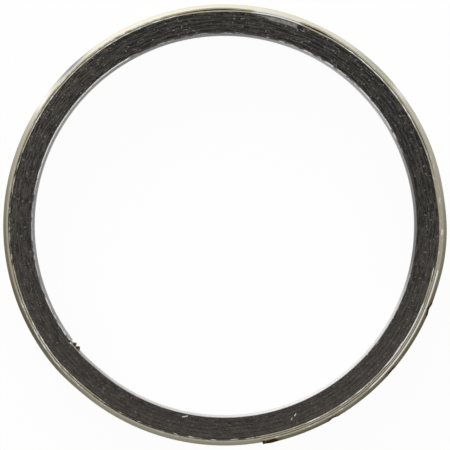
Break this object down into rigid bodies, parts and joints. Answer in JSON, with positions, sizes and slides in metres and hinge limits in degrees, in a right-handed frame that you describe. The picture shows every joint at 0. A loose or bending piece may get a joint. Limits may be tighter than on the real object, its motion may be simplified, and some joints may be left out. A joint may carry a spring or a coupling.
{
  "type": "exhaust pipe flange gasket",
  "caption": "Flat spiral-wound exhaust ring gasket: a V-profiled steel strip wound with graphite filler tape, its outer wraps spot-welded; seals between two pipe flanges.",
  "frame": {"origin": "centre of the bore, in the plane of the lower sealing face", "axes": "+Z along the bore's axis, up through the ring; +X towards the place where the filler tape starts and ends; the strip winds outwards clockwise seen from +Z"},
  "size_m": [0.0745, 0.0741, 0.0055],
  "materials": {
    "strip_steel": "rolled stainless strip, warm khaki tone, brown heat tint at the spot welds",
    "graphite": "pressed flexible graphite, matt with fine lines and small bright flecks"
  },
  "bodies": {
    "root": {"steel_strip": "strip_steel", "graphite_filler": "graphite"}
  },
  "joints": []
}
